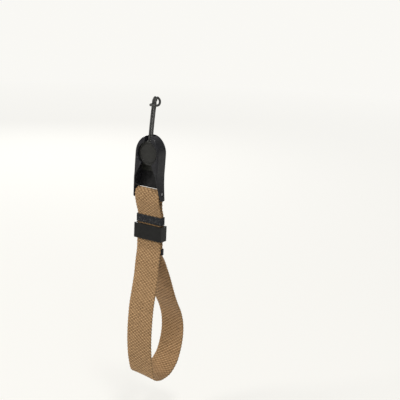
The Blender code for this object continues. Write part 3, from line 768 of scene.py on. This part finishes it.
def addKeeper():
    size = keeperHigh - keeperLow
    sleeve = addBlock(keeperLow, keeperHigh)
    # the mouths: both ends are inset and bridged through
    pickFaces(sleeve, lambda face: abs(face.normal.z) > 0.9)
    bpy.ops.mesh.inset(thickness=keeper["face"], use_individual=True)
    bpy.ops.mesh.bridge_edge_loops()
    leaveEdit()
    slotHalf = size.x / 2 - keeper["side"]
    for vert in sleeve.data.vertices:
        if abs(vert.co.y - strapY) < size.y / 2 - keeper["face"] / 2:
            vert.co.x = math.copysign(slotHalf, vert.co.x)
    # the lips: the outside is cut round near each end, and its ends stand out a little
    lipTop, lipEnd = keeperHigh.z - keeper["lip"], keeperLow.z + keeper["lip"]
    for height in (lipTop, lipEnd):
        cutAcross(sleeve, height)
    for vert in sleeve.data.vertices:
        outside = abs(vert.co.y - strapY) > size.y / 2 - samePlane
        if outside and lipEnd - mergeReach < vert.co.z < lipTop + mergeReach:
            vert.co.y -= math.copysign(keeper["lipRise"], vert.co.y - strapY)
    roundEdges(sleeve, keeper["rim"], 3, 40)
    applyModifiers(sleeve)
    shadeSmooth(sleeve, 30)
    finishPiece(sleeve, "keeperSleeve", "keeper", moulded["keeper"], ["keeper"])


addKeeper()
print("stage: keeper")


# wraps, turns of flat thread round the webbing

wraps = dict(wall=0.18 * mm, corner=0.35 * mm, cornerSteps=4, turn=0.8 * mm, ridge=0.1 * mm, cuts=6)


def addWrap(node, name):
    low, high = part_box(node)
    size, centre = high - low, (low + high) / 2
    wrap = addBlock(low, high)
    pickFaces(wrap, lambda face: abs(face.normal.z) > 0.9)
    bpy.ops.mesh.delete(type="FACE")
    leaveEdit()
    pickEdges(wrap, lambda a, b: abs(a.z - b.z) > size.z / 2)
    bpy.ops.mesh.bevel(offset=wraps["corner"], segments=wraps["cornerSteps"])
    leaveEdit()
    turns = round(size.z / wraps["turn"])
    rows = turns * wraps["cuts"]
    for i in range(1, rows):
        cutAcross(wrap, low.z + size.z * i / rows)
    # a ridge for each turn
    for vert in wrap.data.vertices:
        share = (vert.co.z - low.z) / size.z
        inward = wraps["ridge"] * (1 - abs(math.sin(math.pi * turns * share)))
        for k in (0, 1):
            away = vert.co[k] - centre[k]
            if abs(away) > size[k] / 2 - wraps["corner"]:
                vert.co[k] -= math.copysign(inward, away)
    wall = wrap.modifiers.new("wall", "SOLIDIFY")
    wall.thickness = wraps["wall"]
    wall.offset = -1
    applyModifiers(wrap)
    takeUp(wrap)
    bpy.ops.object.shade_smooth_by_angle(angle=math.radians(60))
    finishPiece(wrap, name, "link", tapeCloth, [node])


addWrap("upper_wrap", "upperWrap")
addWrap("lower_wrap", "lowerWrap")
print("stage: wraps")


# floor and light

stage = dict(floorDrop=32 * mm, floorSize=30.0, floorColour=(0.86, 0.845, 0.8), backColour=(0.95, 0.94, 0.905),
             nearGlow=0.72, nearReach=0.3, farReach=1.6, inGloss=0.35,
             lightColour=(1.0, 0.995, 0.98), dimLight=0.1, brightLight=0.56, brightSide=(-0.85, 0.1, 0.5),
             brightSpread=0.7, aim=(0, 0, -0.1))


def makeFloor():
    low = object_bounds()[0]
    bpy.ops.mesh.primitive_plane_add(size=stage["floorSize"], location=(0, 0, low.z - stage["floorDrop"]))
    floor = bpy.context.object
    placeInMesh(floor)
    floor.name = "floor"
    material, nodes, shader = newMaterial("paleFloor", 0.95, specular=0.0)
    shader.inputs["Base Color"].default_value = (*stage["floorColour"], 1)
    path = nodes.add("ShaderNodeLightPath")
    seen = nodes.math("MULTIPLY_ADD", path.outputs["Is Glossy Ray"], stage["inGloss"], path.outputs["Is Camera Ray"])
    seen = nodes.math("MAXIMUM", seen, path.outputs["Is Transmission Ray"])
    # near the object the floor shows its shadow, and further off it is the even backdrop
    away = nodes.add("ShaderNodeVectorMath", operation="LENGTH")
    nodes.link(nodes.place(), away.inputs[0])
    share = nodes.spread(away.outputs["Value"], stage["nearReach"], stage["farReach"], stage["nearGlow"], 1.0)
    glow = nodes.add("ShaderNodeEmission")
    glow.inputs["Color"].default_value = (*stage["backColour"], 1)
    mixed = nodes.add("ShaderNodeMixShader")
    nodes.link(nodes.math("MULTIPLY", seen, share), mixed.inputs[0])
    nodes.link(shader.outputs[0], mixed.inputs[1])
    nodes.link(glow.outputs[0], mixed.inputs[2])
    nodes.link(mixed.outputs[0], material.node_tree.nodes["Material Output"].inputs["Surface"])
    floor.data.materials.append(material)


def makeWorld():
    world = bpy.data.worlds.new("studio")
    world.use_nodes = True
    scene.world = world
    nodes = Nodes(world.node_tree)
    light = world.node_tree.nodes["Background"]
    light.inputs["Color"].default_value = (*stage["lightColour"], 1)
    # brighter behind, where the backdrop is, than in the room in front
    facing = nodes.add("ShaderNodeVectorMath", operation="DOT_PRODUCT")
    nodes.link(nodes.add("ShaderNodeTexCoord").outputs["Generated"], facing.inputs[0])
    facing.inputs[1].default_value = Vector(stage["brightSide"]).normalized()
    strength = nodes.spread(facing.outputs["Value"], -stage["brightSpread"], stage["brightSpread"],
                            stage["dimLight"], stage["brightLight"])
    nodes.link(strength, light.inputs["Strength"])
    seen = nodes.add("ShaderNodeBackground")
    seen.inputs["Color"].default_value = (*stage["backColour"], 1)
    path = nodes.add("ShaderNodeLightPath")
    mixed = nodes.add("ShaderNodeMixShader")
    nodes.link(path.outputs["Is Camera Ray"], mixed.inputs[0])
    nodes.link(light.outputs[0], mixed.inputs[1])
    nodes.link(seen.outputs[0], mixed.inputs[2])
    nodes.link(mixed.outputs[0], world.node_tree.nodes["World Output"].inputs["Surface"])


lamps = [
    dict(name="keyLamp", place=(-0.75, -0.95, 0.75), size=0.35, power=9.6, colour=(1.0, 0.985, 0.95)),
    dict(name="topLamp", place=(0.35, -0.3, 1.05), size=0.22, power=6.5, colour=(1.0, 0.995, 0.98)),
    dict(name="fillLamp", place=(0.95, -0.76, 0.42), size=0.15, power=1.5, colour=(0.97, 0.98, 1.0)),
    dict(name="rimLamp", place=(-0.75, 0.72, 0.15), size=0.3, power=3.5, colour=(1.0, 1.0, 0.98)),
]


def addLamps():
    for lamp in lamps:
        bpy.ops.object.light_add(type="AREA", location=lamp["place"])
        light = bpy.context.object
        light.name = lamp["name"]
        light.data.size = lamp["size"]
        light.data.energy = lamp["power"]
        light.data.color = lamp["colour"]
        light.rotation_euler = (light.location - Vector(stage["aim"])).to_track_quat("Z", "Y").to_euler()


makeFloor()
makeWorld()
addLamps()
print("stage: floor and light")
